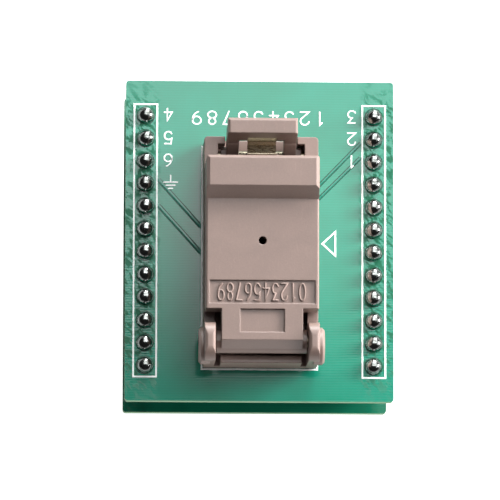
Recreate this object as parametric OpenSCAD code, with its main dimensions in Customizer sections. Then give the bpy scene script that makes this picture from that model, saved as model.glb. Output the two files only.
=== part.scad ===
// Clamshell test socket for a six-lead 2 x 2 mm package, on a two-board DIP adapter.
// +Z is up, +Y points to the latch end, and z = 0 is at the tips of the DIP pins.

/* [Boards] */
// Width of both boards, across the pin rows
board_w = 29.8; // [28.6:0.1:34]
// Length of both boards, along the pin rows
board_l = 35.8; // [33:0.1:44]
// Thickness of both boards
board_t = 1.6; // [1:0.1:2.4]
// Radius of the boards' corners
board_corner = 0.35; // [0.1:0.05:1]

/* [Pin rows] */
// Distance between neighbouring pins
pin_pitch = 2.54; // [2.5:0.01:2.6]
// Pins in each row
pins_per_row = 12; // [11:1:12]
// Distance between the two header rows
header_rows = 25.4; // [25:0.1:26]
// Distance between the two rows of DIP pins
dip_rows = 15.24; // [14:0.01:17]
// Width of a header or pin strip
strip_w = 2.54; // [2.2:0.01:2.6]

/* [Headers between the boards] */
// Height of the plastic strip that holds the header pins
header_h = 2.54; // [2:0.01:3.5]
// Height of a female strip
female_h = 8.5; // [7.5:0.1:12]
// Side of a square header pin
header_pin = 0.64; // [0.5:0.01:0.7]
// Length of a header pin below its plastic strip
header_reach = 6; // [5:0.1:6.4]
// Thickness of a fork contact
fork_t = 0.25; // [0.2:0.01:0.3]

/* [DIP pins] */
// Height of a turned-pin strip
dip_strip_h = 2.8; // [2.4:0.1:3.4]
// Diameter of a DIP pin
dip_pin_d = 0.5; // [0.4:0.01:0.6]
// Length of a DIP pin below its strip
dip_reach = 4.2; // [3:0.1:5]
// Diameter of the turned collar of a DIP pin
collar_d = 1.32; // [1.1:0.01:1.5]

/* [Solder] */
// Diameter of a solder dome on a header pin
dome_d = 1.86; // [1.5:0.01:1.95]
// Height of a solder dome on a header pin
dome_h = 0.92; // [0.88:0.01:1.1]
// Height of the pointed joints under the boards
joint_h = 1.15; // [0.9:0.01:1.4]

/* [Socket base] */
// Width of the moulded base
base_w = 12.6; // [12.4:0.1:14]
// Length of the moulded base
base_l = 25.2; // [23.6:0.1:28]
// Height of the base's side walls
base_h = 4.5; // [4.3:0.05:4.6]
// Thickness of the base's floor
floor_t = 1.6; // [1.5:0.05:1.7]
// Distance of the base's middle from the board's middle, towards the hinge end
base_shift = 1.6; // [0:0.1:3]
// Thickness of the locator plate under the floor
locator_t = 0.7; // [0.5:0.05:0.9]

/* [Hinge] */
// Distance of the hinge pin in from the base's hinge end
hinge_in = 2.3; // [2.2:0.05:2.4]
// Height of the hinge pin above the board
hinge_z = 5.6; // [5.5:0.05:5.7]
// Diameter of the hinge pin
hinge_d = 1.2; // [1:0.05:1.3]
// Radius of the lid's knuckles
knuckle_r = 1.3; // [1.2:0.02:1.35]
// Thickness of one ear
ear_t = 1.2; // [1:0.05:1.22]
// Length of one ear, along the base
ear_l = 4.25; // [4:0.05:4.5]
// Height of the ears above the board
ear_h = 8.6; // [8:0.1:9]
// How far the hinge bosses stand out from the base
boss_out = 0.6; // [0.3:0.05:0.8]
// Radius of a hinge boss
boss_r = 2.05; // [1.6:0.05:2.1]

/* [Lid] */
// Width of the lid
lid_w = 12.4; // [12:0.1:12.6]
// Height of the lid's flat top above the board
lid_top = 8.2; // [8:0.05:8.4]
// Height of the raised bar at the lid's free end
bar_top = 9.6; // [9:0.1:10.5]
// Distance of the lid's free end in from the base's latch end
lid_in = 2.77; // [2.7:0.01:3]
// Width of the lid's neck, between the ears
neck_w = 8.9; // [8.6:0.1:9.2]
// Diameter of the vent hole
vent_d = 0.88; // [0.6:0.01:1]
// Distance of the package's middle from the base's middle
package_y = 0.55; // [0:0.05:1]
// Depth of the panel for markings
panel_deep = 0.2; // [0.1:0.05:0.3]

/* [Pressure pad] */
// Side of the square foot that presses the package
foot_w = 2; // [1.6:0.1:2]
// Side of the pad's block
pad_w = 4.2; // [4:0.1:4.6]
// How far the pad can be pushed up into the lid
pad_travel = 0.4; // [0.3:0.05:0.45]
// Diameter of one pad spring
pad_spring_d = 1.1; // [0.9:0.05:1.2]

/* [Package and contacts] */
// Side of the square package pocket
pocket_w = 2.1; // [2.05:0.01:2.2]
// Distance between neighbouring package leads
lead_pitch = 0.65; // [0.6:0.01:0.7]
// Leads on each side of the package
leads_per_side = 3; // [2:1:3]
// Thickness of one sheet-metal contact
contact_t = 0.25; // [0.15:0.01:0.3]

/* [Latch] */
// Distance of the latch pin in from the base's latch end
latch_in = 1.85; // [1.8:0.01:1.95]
// Height of the latch pin above the board
latch_z = 2.5; // [2.4:0.02:2.6]
// Diameter of the latch pin
latch_d = 1; // [0.8:0.05:1.1]
// Width of the latch's foot, between the posts
latch_foot_w = 8.9; // [8.7:0.1:9]
// Width of the thumb bar
thumb_w = 7.67; // [7.2:0.01:8.2]
// Height of the thumb bar above the board
thumb_top = 9; // [8.6:0.1:9.6]
// Width of the steel catch strip
catch_w = 3.16; // [2.8:0.02:3.4]
// Thickness of the steel catch strip
catch_t = 0.3; // [0.2:0.02:0.32]

/* [Springs] */
// Wire diameter of the two torsion springs
torsion_wire = 0.3; // [0.2:0.02:0.32]
// Turns of each torsion spring
torsion_turns = 6; // [4:1:7]
// Wire diameter of the pad springs
pad_wire = 0.2; // [0.14:0.01:0.22]

/* [Clearances] */
// Radial clearance of a pin that turns in its bore
running = 0.04; // [0.02:0.01:0.08]
// Side clearance between moulded parts that move past each other
side_gap = 0.1; // [0.06:0.01:0.12]
// Clearance round pieces that drop into a recess
drop_gap = 0.1; // [0.05:0.01:0.12]
// Radial clearance of a pin in a board hole
hole_gap = 0.12; // [0.08:0.01:0.16]
// Radial clearance of a pin that is held fast
held = 0.01; // [0.005:0.005:0.015]

/* [Hidden] */

$fn = 48;
cut = 0.5;                 // how far a cutting solid runs past the face it cuts

plastic = "#a89085";
board_green = "#3f8f78";
black_plastic = "#26262a";
gold = "#d8b566";
steel = "#b9bcc0";
tin = "#c9ccd0";

// Levels of the stack, from the tips of the DIP pins up
lower_z = dip_reach + dip_strip_h;
female_z = lower_z + board_t;
header_z = female_z + female_h;
top_z = header_z + header_h;
socket_z = top_z + board_t;
row_l = pins_per_row * pin_pitch;

// Holes in the boards, and how far tails stand out on the far side
header_hole = header_pin * sqrt(2) + 2 * hole_gap;
dip_hole = dip_pin_d + 2 * hole_gap;
tail_out = joint_h - 0.15;
dip_tail_out = 0.7;
fork_tail_w = 0.5;
pin_cover = 0.35;          // solder over the end of a header pin

// Base, in socket coordinates: above the upper board, and from the base's middle
base_end = base_l / 2;
hinge_y = base_end - hinge_in;
latch_y = base_end - latch_in;
ear_in = base_w / 2 - ear_t;
ear_round = 1.5;
boss_back = 0.5;           // a boss sits this far behind the middle of the pin it holds
rear_wall_y = -hinge_y - knuckle_r - side_gap;   // the knuckles turn just in front of it
rear_wall_t = base_end + rear_wall_y;
rear_wall_top = hinge_z - 0.67;
hollow_end = -hinge_y + 3.7;             // front end of the hollow between the ears
peg_d = 1.4;
peg_out = 0.3;             // how far a peg stands out under the upper board

// Leads and contacts
lead_in = 2.2;             // distance of the outer leads from the middle
lead_out = 3.5;            // distance of the middle lead from the middle
lead_w = 0.4;
lead_hole = 0.7;
lead_gap = 0.05;           // round a lead in the floor and the locator plate
leaf_t = 0.2;              // thickness of a contact's bars, seen from the side
leaf_z = floor_t + 0.8;    // middle of a contact's upper bar
bend_r = (leaf_z - floor_t - leaf_t / 2) / 2;
bend_out = 0.1;            // distance of a bend's middle outside its lead
leaf_room = 0.15;          // between the outer bends and the guide's rim
tip_z = leaf_z + 0.45;
tip_x = 0.82;              // distance of a contact's tip from the middle
tip_r = 0.12;
probe_d = 0.6;
probe_tail_r = 0.2;
locator_w = 2 * lead_out + 1.6;
locator_l = 4.4;

// Radii of the solder pads
dip_pad_r = 0.75;
strip_pad_r = 0.8;
lead_pad_r = 0.55;

// Package guide
guide_low = leaf_z + leaf_t / 2 + 0.1;
guide_top = base_h - 0.15;
guide_rim = 0.4;
well_w = 2 * (lead_out + bend_out + bend_r + leaf_t / 2 + leaf_room + guide_rim + drop_gap);
well_l = 10.4;
pocket_edge = tip_z + 0.45;              // where the pocket's sloping sides begin
groove_w = 1.2;            // groove that lets tweezers reach the package
groove_deep = 0.6;

// Lid
lid_low = base_h + 0.2;
lid_front = base_end - lid_in;
barrel_w = 2 * (ear_in - side_gap);
bar_back = lid_front - 3.35;
bar_foot = bar_back - 1.28;
plate_back = -hinge_y + 3.35;
neck_edge = -hinge_y - 0.1;              // where the neck starts to slope down
panel = [lid_w - 0.8, 2.54];
panel_y = plate_back + 0.57 + panel[1] / 2;
thumb_dip = [4.86, 2.54];  // shallow dip in the neck
thumb_dip_y = plate_back - 0.05 - thumb_dip[1] / 2;
thumb_dip_deep = 0.25;
lid_wall = 0.9;

// Hinge spring
spring_room = 5;           // width of the space for it in the lid
spring_gap = 0.05;         // between a torsion spring and its pin
hinge_coil_r = hinge_d / 2 + spring_gap + torsion_wire / 2;
hinge_leg = 2.6;           // leg that lies under the lid

// Pressure pad, from its foot up
foot_z = tip_z + 0.3;
pad_z = guide_top + 0.1;
retainer_t = 0.7;
retainer_w = pad_w + 3.2;
flange_z = lid_low + retainer_t + 0.05;
flange_w = pad_w + 1.2;
flange_t = 0.65;
pad_room_top = flange_z + flange_t + pad_travel + 0.4;
spring_seat = pad_room_top + 0.5;
pad_spring_at = flange_w / 2 - pad_spring_d / 2 - 0.05;

// Latch
slot_w = latch_foot_w + 0.7;
shoulder_t = 0.8;          // wall that closes the slot's outer corners
foot_r = latch_in - shoulder_t - side_gap;
foot_flat = foot_r - 0.2;  // height of the foot's flat top above the pin's middle
slot_y = latch_y - foot_r - 0.15;
slot_floor = latch_z - foot_r - 0.25;
slot_end = latch_y + foot_r + side_gap;
mouth_w = thumb_w + 0.34;  // opening between the shoulders
peg_in = 1.5;
pegs = [
    [base_w / 2 - peg_in, -hinge_y + 2.9], [peg_in - base_w / 2, slot_y - peg_in],
];
thumb_lean = 0.145;        // lean of the thumb bar's inner face
thumb_away = 1.6;          // distance of the thumb bar from the latch pin
thumb_deep = 1.71;
thumb_in = latch_y + thumb_away;
thumb_out = thumb_in + thumb_deep;
window_w = catch_w + 1.84;
window_h = 3.7;
window_top = latch_z + window_h;
ledge_hook = 0.32;         // how far the catch's nose reaches over the lid's ledge
ledge_top = lid_low + 0.35;
ledge_w = catch_w + 0.4;
nose_r = 0.22;
nose_in = 0.2;             // distance of the nose in from the latch pin
nose = [latch_y - nose_in, ledge_top + 0.14 + nose_r];
ledge_end = nose[0] - nose_r + ledge_hook;
catch_in = 0.85;           // how far the strip reaches up past the window
latch_pin_l = base_w - 1;
latch_coil_r = latch_d / 2 + spring_gap + torsion_wire / 2;
latch_leg = 2.3;           // leg that stands up behind the catch

// ---- helpers ---------------------------------------------------------------

// Moves a piece from socket coordinates to its place on the upper board.
module on_board() {
    translate([0, -base_shift, socket_z]) children();
}

// A box centred in X and Y that stands on height z.
module block(size, z = 0) {
    translate([-size[0] / 2, -size[1] / 2, z]) cube(size);
}

// Repeats the children at every pin of a row at distance x from the middle.
module pin_row(x) {
    for (i = [0 : pins_per_row - 1])
        translate([x, (i - (pins_per_row - 1) / 2) * pin_pitch, 0]) children();
}

// Extrudes an outline drawn as (Y, Z) over a width centred on X = 0.
module across(width) {
    translate([-width / 2, 0, 0])
        rotate([90, 0, 90])
            linear_extrude(width) children();
}

// Extrudes an outline drawn as (X, Z) over a thickness centred on Y = 0.
module along(thick) {
    translate([0, thick / 2, 0])
        rotate([90, 0, 0])
            linear_extrude(thick) children();
}

// A round bar along X, centred on X = 0, at the given Y and Z.
module cross_bar(r, width, y, z) {
    translate([-width / 2, y, z])
        rotate([0, 90, 0]) cylinder(r = r, h = width);
}

// A rectangle with corners rounded by true arcs.
module rounded(size, r) {
    translate([r, 0]) square([size[0] - 2 * r, size[1]]);
    translate([0, r]) square([size[0], size[1] - 2 * r]);
    for (x = [r, size[0] - r], y = [r, size[1] - r])
        translate([x, y]) circle(r = r);
}

// A box whose upper long edges, along Y, are bevelled.
module bevelled(width, length, z0, z1, bevel) {
    along(length)
        polygon([
            [-width / 2, z0], [width / 2, z0], [width / 2, z1 - bevel],
            [width / 2 - bevel, z1], [-width / 2 + bevel, z1], [-width / 2, z1 - bevel],
        ]);
}

// Part of a ring of mean radius r and thickness t, from angle a0 to a1 in degrees.
module ring_part(r, t, a0, a1) {
    steps = 12;
    function at(q, i) = let (a = a0 + (a1 - a0) * i / steps) q * [cos(a), sin(a)];
    polygon(concat(
        [for (i = [0 : steps]) at(r + t / 2, i)],
        [for (i = [steps : -1 : 0]) at(r - t / 2, i)]
    ));
}

// A wire swept along a list of points, each ring square to its stretch; the ends are closed.
module wire(points, d, sides = 8) {
    n = len(points);
    function unit(v) = v / norm(v);
    function heading(i) = unit(points[min(i + 1, n - 1)] - points[max(i - 1, 0)]);
    function side_of(i) = let (h = heading(i), x = [1, 0, 0])
        unit(x - h * (h * x) + (abs(h * x) > 0.99 ? [0, 1, 0] : [0, 0, 0]));
    function ring(i) = let (h = heading(i), u = side_of(i), v = cross(h, u))
        [for (k = [0 : sides - 1]) let (a = 360 * k / sides)
            points[i] + d / 2 * (cos(a) * u + sin(a) * v)];
    polyhedron(
        points = [for (i = [0 : n - 1]) each ring(i)],
        faces = concat(
            [[for (k = [0 : sides - 1]) k]],
            [for (i = [0 : n - 2], k = [0 : sides - 1])
                let (a = i * sides, b = a + sides, m = (k + 1) % sides)
                each [[a + k, b + k, b + m], [a + k, b + m, a + m]]],
            [[for (k = [sides - 1 : -1 : 0]) (n - 1) * sides + k]]
        )
    );
}

// A torsion spring wound on the X axis: one leg leaves the first turn in direction leg_a,
// the other leaves the last turn in direction leg_b, both in the Y-Z plane and tangent.
module torsion_spring(r, a_start, a_end, leg_a, leg_b) {
    steps = 20;
    total = torsion_turns * 360 + a_end - a_start;
    n = ceil(total / 360 * steps);
    pitch = torsion_wire * 1.12;
    length = pitch * total / 360;
    function at(i) = let (a = a_start + total * i / n)
        [-length / 2 + length * i / n, r * cos(a), r * sin(a)];
    first = at(0) + leg_a * [0, sin(a_start), -cos(a_start)];
    last = at(n) + leg_b * [0, -sin(a_end), cos(a_end)];
    wire(concat([first], [for (i = [0 : n]) at(i)], [last]), torsion_wire);
}

// ---- boards ----------------------------------------------------------------

module board_blank(z) {
    translate([-board_w / 2, -board_l / 2, z])
        linear_extrude(board_t) rounded([board_w, board_l], board_corner);
}

// Drills a board that stands on height z at every pin of the row at distance x.
module hole_row(x, d, z) {
    pin_row(x) translate([0, 0, z - cut]) cylinder(d = d, h = board_t + 2 * cut);
}

module lower_board() {
    color(board_green)
        difference() {
            board_blank(lower_z);
            for (s = [-1, 1]) {
                hole_row(s * header_rows / 2, header_hole, lower_z);
                hole_row(s * dip_rows / 2, dip_hole, lower_z);
            }
        }
}

module top_board() {
    color(board_green)
        difference() {
            board_blank(top_z);
            for (s = [-1, 1]) hole_row(s * header_rows / 2, header_hole, top_z);
            on_board() {
                each_lead() translate([0, 0, -board_t - cut])
                    cylinder(d = lead_hole, h = board_t + 2 * cut);
                for (p = pegs) translate([p[0], p[1], -board_t - cut])
                    cylinder(d = peg_d + 2 * hole_gap, h = board_t + 2 * cut);
            }
        }
}

// ---- DIP side --------------------------------------------------------------

module dip_strip(s) {
    color(black_plastic)
        difference() {
            translate([s * dip_rows / 2, 0, 0]) block([strip_w, row_l, dip_strip_h], dip_reach);
            pin_row(s * dip_rows / 2) translate([0, 0, dip_reach - cut])
                cylinder(d = collar_d + 2 * held, h = dip_strip_h + 2 * cut);
        }
}

// One turned pin: point, shank, collar in the strip, and tail through the board.
module dip_pin() {
    r = dip_pin_d / 2;
    rotate_extrude()
        polygon([
            [0, 0], [r * 0.6, 0], [r, 0.25], [r, dip_reach - 0.25], [r * 1.5, dip_reach],
            [collar_d / 2, dip_reach], [collar_d / 2, lower_z], [r, lower_z],
            [r, female_z + dip_tail_out], [0, female_z + dip_tail_out],
        ]);
}

module dip_pins(s) {
    color(gold) pin_row(s * dip_rows / 2) dip_pin();
}

// A pointed solder joint on a pad of radius r_pad, closed over a tail of radius r_tail.
module solder_joint(r_tail, r_pad, height) {
    neck = r_tail + 0.06;
    rotate_extrude()
        polygon([
            [0, 0], [r_pad, 0], [neck + 0.7 * (r_pad - neck), height * 0.2],
            [neck + 0.25 * (r_pad - neck), height * 0.5], [neck, height * 0.9],
            [neck * 0.7, height], [0, height],
        ]);
}

module dip_solder(s) {
    color(tin)
        pin_row(s * dip_rows / 2) translate([0, 0, female_z])
            difference() {
                solder_joint(dip_pin_d / 2, dip_pad_r, joint_h);
                translate([0, 0, -cut]) cylinder(d = dip_pin_d, h = dip_tail_out + cut);
            }
}

// ---- headers between the boards --------------------------------------------

// One fork contact: a tail through the board and two sprung arms that hold a pin.
module fork_contact() {
    arm_w = 0.3;
    gap = header_pin + 0.04;
    tail_l = board_t + tail_out;
    translate([0, 0, female_z]) {
        block([fork_t, fork_tail_w, tail_l + 0.4], -tail_l);
        block([fork_t, 2 * arm_w + gap, 0.5], 0.4);
        for (s = [-1, 1])
            translate([0, s * (gap + arm_w) / 2, 0])
                block([fork_t, arm_w, female_h - 1.6], 0.4);
    }
}

module strip_contacts(s) {
    color(tin) pin_row(s * header_rows / 2) fork_contact();
}

module socket_strip(s) {
    hole = header_pin + 0.2;
    slot = header_pin + 0.8;
    color(black_plastic)
        difference() {
            translate([s * header_rows / 2, 0, 0]) block([strip_w, row_l, female_h], female_z);
            pin_row(s * header_rows / 2) {
                block([hole, hole, 1.2 + cut], header_z - 1.2);
                block([hole, slot, female_h - 1 + cut], female_z - cut);
            }
        }
}

module strip_solder(s) {
    color(tin)
        pin_row(s * header_rows / 2) translate([0, 0, lower_z]) mirror([0, 0, 1])
            difference() {
                solder_joint(fork_tail_w * 0.56, strip_pad_r, joint_h);
                block([fork_t, fork_tail_w, tail_out + cut], -cut);
            }
}

module header_body(s) {
    color(black_plastic)
        difference() {
            translate([s * header_rows / 2, 0, header_z]) notched_strip();
            pin_row(s * header_rows / 2)
                block([header_pin + 2 * held, header_pin + 2 * held, header_h + 2 * cut], header_z - cut);
        }
}

// The header's plastic strip: one eight-sided block for each pin, joined end to end.
module notched_strip() {
    bevel = 0.35;
    h = pin_pitch / 2;
    w = strip_w / 2;
    linear_extrude(header_h)
        for (i = [0 : pins_per_row - 1])
            translate([0, (i - (pins_per_row - 1) / 2) * pin_pitch])
                polygon([
                    [-w, -h + bevel], [-w + bevel, -h], [w - bevel, -h], [w, -h + bevel],
                    [w, h - bevel], [w - bevel, h], [-w + bevel, h], [-w, h - bevel],
                ]);
}

module header_pins(s) {
    top = socket_z + dome_h - pin_cover;
    low = header_z - header_reach;
    color(gold)
        pin_row(s * header_rows / 2)
            block([header_pin, header_pin, top - low], low);
}

// One solder dome: a cap of a sphere that covers the pin's end.
module dome() {
    r = (dome_d * dome_d / 4 + dome_h * dome_h) / (2 * dome_h);
    difference() {
        intersection() {
            translate([0, 0, dome_h - r]) sphere(r = r);
            cylinder(d = 2 * dome_d, h = 2 * dome_h);
        }
        block([header_pin, header_pin, dome_h - pin_cover + cut], -cut);
    }
}

module pin_solder(s) {
    color(tin) pin_row(s * header_rows / 2) translate([0, 0, socket_z]) dome();
}

// ---- socket base ----------------------------------------------------------

// Side view of one ear: a wall with a rounded top, from the board up.
module ear_outline() {
    translate([-base_end, 0]) square([ear_l, ear_h - ear_round]);
    translate([-base_end, 1]) rounded([ear_l, ear_h - 1], ear_round);
}

// One ear: its side view and its front view, both with rounded upper corners.
module ear() {
    intersection() {
        across(ear_t) ear_outline();
        along(2 * base_l) translate([-ear_t / 2, 0]) rounded([ear_t, ear_h], ear_t * 0.3);
    }
}

// Plan of the base, with its corners rounded.
module base_plan() {
    translate([-base_w / 2, -base_end]) rounded([base_w, base_l], 0.4);
}

// Side view of the wall behind the hinge; the open lid's back comes to rest along its top.
module rear_wall_outline() {
    flat = rear_wall_t * 0.35;
    polygon([
        [-base_end, 0], [rear_wall_y, 0], [rear_wall_y, rear_wall_top - 0.25],
        [-base_end + flat, rear_wall_top], [-base_end, rear_wall_top],
    ]);
}

// The round boss outside an ear, with its rim bevelled.
module hinge_boss(s) {
    bevel = 0.25;
    translate([s * base_w / 2, -hinge_y - boss_back, hinge_z])
        rotate([0, s * 90, 0])
            rotate_extrude()
                polygon([
                    [0, -ear_t / 2], [boss_r, -ear_t / 2], [boss_r, boss_out - bevel],
                    [boss_r - bevel, boss_out], [0, boss_out],
                ]);
}

// Repeats the children at the leads of one side; the outer ones sit closer in.
module side_leads(s) {
    for (i = [0 : leads_per_side - 1]) {
        x = i % 2 == 0 ? lead_in : lead_out;
        off = (i - (leads_per_side - 1) / 2) * lead_pitch;
        translate([s * x, package_y + off, 0]) children();
    }
}

// Repeats the children at every lead of the socket.
module each_lead() {
    side_leads(-1) children();
    side_leads(1) children();
    translate([0, package_y, 0]) children();
}

// Cuts a slot for every lead through the levels z0 to z1.
module lead_slots(z0, z1) {
    for (s = [-1, 1])
        side_leads(s)
            block([lead_w + 2 * lead_gap, contact_t + 2 * lead_gap, z1 - z0], z0);
    translate([0, package_y, z0]) cylinder(d = probe_d + 2 * lead_gap, h = z1 - z0);
}

// Everything that is taken out of the base.
module base_cuts() {
    slit = ear_in - neck_w / 2;
    // Well for the package guide
    translate([0, package_y, 0]) block([well_w, well_l, base_h], floor_t);
    // Hollow between the ears, in front of the rear wall
    translate([-ear_in, rear_wall_y, floor_t])
        cube([2 * ear_in, hollow_end - rear_wall_y, ear_h]);
    // Slits beside the rear wall
    for (s = [-1, 1])
        translate([s * (neck_w + slit) / 2, -base_end + (rear_wall_t - cut) / 2, 0])
            block([slit, rear_wall_t + cut, ear_h], floor_t);
    // Slot for the latch's foot, and its mouth between the shoulders
    translate([-slot_w / 2, slot_y, slot_floor]) cube([slot_w, slot_end - slot_y, ear_h]);
    translate([-mouth_w / 2, slot_end - cut, slot_floor])
        cube([mouth_w, shoulder_t + 2 * cut, ear_h]);
    // Recess for the locator plate
    translate([0, package_y, 0]) block([locator_w, locator_l, locator_t + cut], -cut);
    lead_slots(-cut, floor_t + cut);
    // Bores for both pins
    cross_bar(hinge_d / 2 + held, base_w + 2 * boss_out + 2 * cut, -hinge_y, hinge_z);
    cross_bar(latch_d / 2 + held, latch_pin_l, latch_y, latch_z);
}

module socket_base() {
    color(plastic)
        on_board()
            difference() {
                union() {
                    linear_extrude(base_h) base_plan();
                    across(2 * ear_in) rear_wall_outline();
                    for (s = [-1, 1]) {
                        translate([s * (base_w - ear_t) / 2, 0, 0]) ear();
                        hinge_boss(s);
                    }
                    for (p = pegs)
                        translate([p[0], p[1], -board_t - peg_out])
                            cylinder(d = peg_d, h = board_t + peg_out + cut);
                }
                base_cuts();
            }
}

module locator_plate() {
    color(black_plastic)
        on_board()
            difference() {
                translate([0, package_y, 0])
                    block([locator_w - 2 * drop_gap, locator_l - 2 * drop_gap, locator_t - held]);
                lead_slots(-cut, locator_t + cut);
            }
}

// ---- contacts and package guide --------------------------------------------

// Side view of one hairpin contact whose tail is at distance x: the tail, a lower bar on
// the floor, a round bend, and an upper bar that springs and ends in an upright tip.
module contact_outline(x) {
    low = floor_t + leaf_t / 2;
    bend_x = x + bend_out;
    translate([x - lead_w / 2, -board_t - tail_out]) square([lead_w, low + board_t + tail_out]);
    translate([tip_x, floor_t]) square([bend_x - tip_x, leaf_t]);
    translate([bend_x, low + bend_r]) ring_part(bend_r, leaf_t, -90, 90);
    translate([tip_x, leaf_z - leaf_t / 2]) square([bend_x - tip_x, leaf_t]);
    translate([tip_x - tip_r, leaf_z - leaf_t / 2])
        square([2 * tip_r, tip_z - tip_r - leaf_z + leaf_t / 2]);
    translate([tip_x, tip_z - tip_r]) circle(r = tip_r);
}

module contacts(s) {
    color(gold)
        on_board()
            for (i = [0 : leads_per_side - 1]) {
                x = i % 2 == 0 ? lead_in : lead_out;
                off = (i - (leads_per_side - 1) / 2) * lead_pitch;
                translate([0, package_y + off, 0])
                    mirror([s < 0 ? 1 : 0, 0, 0]) along(contact_t) contact_outline(x);
            }
}

// Sprung probe under the middle of the package: tail, barrel and rounded plunger.
module ground_probe() {
    r = probe_d / 2;
    plunger_r = probe_d / 4;
    color(gold)
        on_board()
            translate([0, package_y, 0])
                rotate_extrude()
                    polygon([
                        [0, -board_t - tail_out], [probe_tail_r, -board_t - tail_out], [probe_tail_r, 0],
                        [r, 0.1], [r, guide_low - 0.2], [r - 0.08, guide_low - 0.1],
                        [plunger_r, guide_low - 0.1], [plunger_r, tip_z - 0.1],
                        [plunger_r - 0.08, tip_z], [0, tip_z],
                    ]);
}

// Joints of the socket's leads on the underside of the upper board.
module socket_solder() {
    color(tin)
        on_board()
            translate([0, 0, -board_t]) mirror([0, 0, 1]) {
                for (s = [-1, 1])
                    side_leads(s)
                        difference() {
                            solder_joint(lead_w * 0.6, lead_pad_r, joint_h);
                            block([lead_w, contact_t, tail_out + cut], -cut);
                        }
                translate([0, package_y, 0])
                    difference() {
                        solder_joint(lead_w * 0.6, lead_pad_r, joint_h);
                        translate([0, 0, -cut]) cylinder(r = probe_tail_r, h = tail_out + cut);
                    }
            }
}

// A four-sided funnel, from width w0 at height z0 to width w1 at height z1.
module funnel(w0, w1, z0, z1) {
    side = [[-w0 / 2, z0], [w0 / 2, z0], [w1 / 2, z1], [-w1 / 2, z1]];
    intersection() {
        across(2 * w1) polygon(side);
        along(2 * w1) polygon(side);
    }
}

module package_guide() {
    w = well_w - 2 * drop_gap;
    l = well_l - 2 * drop_gap;
    slope = guide_top - pocket_edge;
    color(black_plastic)
        on_board()
            translate([0, package_y, 0])
                difference() {
                    block([w, l, guide_top - floor_t], floor_t);
                    block([w - 2 * guide_rim, l - 2 * guide_rim, guide_low - floor_t + cut],
                        floor_t - cut);
                    block([pocket_w, pocket_w, guide_top], guide_low - cut);
                    funnel(pocket_w, pocket_w + 2 * (slope + cut), pocket_edge, guide_top + cut);
                    block([w + 2 * cut, groove_w, guide_top], guide_top - groove_deep);
                }
}

// ---- hinge -----------------------------------------------------------------

module hinge_pin() {
    color(steel)
        on_board() cross_bar(hinge_d / 2, base_w + 2 * boss_out - 0.4, -hinge_y, hinge_z);
}

// Torsion spring round the hinge pin: one leg stands on the floor, one lies under the lid.
module hinge_spring() {
    color(steel)
        on_board()
            translate([0, -hinge_y, hinge_z])
                torsion_spring(hinge_coil_r, 0, 270, hinge_z - floor_t - 0.2, hinge_leg);
}

// ---- lid -------------------------------------------------------------------

// Side view of the raised bar at the lid's free end.
module bar_outline() {
    bevel = 0.3;
    polygon([
        [bar_foot, lid_low], [lid_front, lid_low], [lid_front, bar_top - bevel],
        [lid_front - bevel, bar_top], [bar_back, bar_top], [bar_foot, lid_top - 0.01],
    ]);
}

// Side view of the neck that reaches back to the knuckles and slopes down behind them.
module neck_outline() {
    polygon([
        [plate_back + cut, lid_low + 0.2], [plate_back + cut, lid_top], [neck_edge, lid_top],
        [-hinge_y - 0.985 * knuckle_r, hinge_z + 0.15], [-hinge_y, lid_low + 0.2],
    ]);
}

// Pockets in the lid's underside that keep its walls even, on both sides of the pad's housing.
module lid_cores() {
    rib = 0.8;
    w = (lid_w - 2 * lid_wall - rib) / 2;
    room = retainer_w / 2 + drop_gap + lid_wall;
    front = [package_y + room, lid_front - lid_wall];
    back = [-hinge_y + 4.3, package_y - room];
    for (s = [-1, 1])
        translate([s * (w + rib) / 2, 0, 0]) {
            translate([0, (front[0] + front[1]) / 2, 0])
                block([w, front[1] - front[0], bar_top - lid_low - 1.4 + cut], lid_low - cut);
            translate([0, (back[0] + back[1]) / 2, 0])
                block([w, back[1] - back[0], lid_top - lid_low - 1.4 + cut], lid_low - cut);
        }
}

// Everything that is taken out of the lid.
module lid_cuts() {
    lid_cores();
    // Panel for markings, and the dip in the neck
    translate([0, panel_y, 0]) block([panel[0], panel[1], cut + panel_deep], lid_top - panel_deep);
    translate([0, thumb_dip_y, 0]) block([thumb_dip[0], thumb_dip[1], cut + thumb_dip_deep], lid_top - thumb_dip_deep);
    // Room for the pressure pad, its springs and its retainer
    translate([0, package_y, 0]) {
        block([flange_w + 0.3, flange_w + 0.3, pad_room_top - lid_low + cut], lid_low - cut);
        block([retainer_w + 2 * drop_gap, retainer_w + 2 * drop_gap, retainer_t + cut],
            lid_low - cut);
        pad_spring_places() translate([0, 0, lid_low])
            cylinder(d = pad_spring_d + 0.2, h = spring_seat - lid_low);
        translate([0, 0, lid_low]) cylinder(d = vent_d, h = lid_top);
    }
    // Bore for the hinge pin, and the space round its spring
    cross_bar(hinge_d / 2 + running, lid_w, -hinge_y, hinge_z);
    cross_bar(hinge_coil_r + torsion_wire / 2 + 0.1, spring_room, -hinge_y, hinge_z);
    translate([0, -hinge_y, 0]) {
        block([spring_room, 2 * knuckle_r + 1, hinge_z - lid_low + cut], lid_low - cut);
        translate([0, 2, 0]) block([spring_room, 4, 0.4 + cut], lid_low - cut);
    }
}

// Plan of the lid's wide part, with its corners rounded.
module lid_plan() {
    translate([-lid_w / 2, plate_back]) rounded([lid_w, lid_front - plate_back], 0.3);
}

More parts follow.
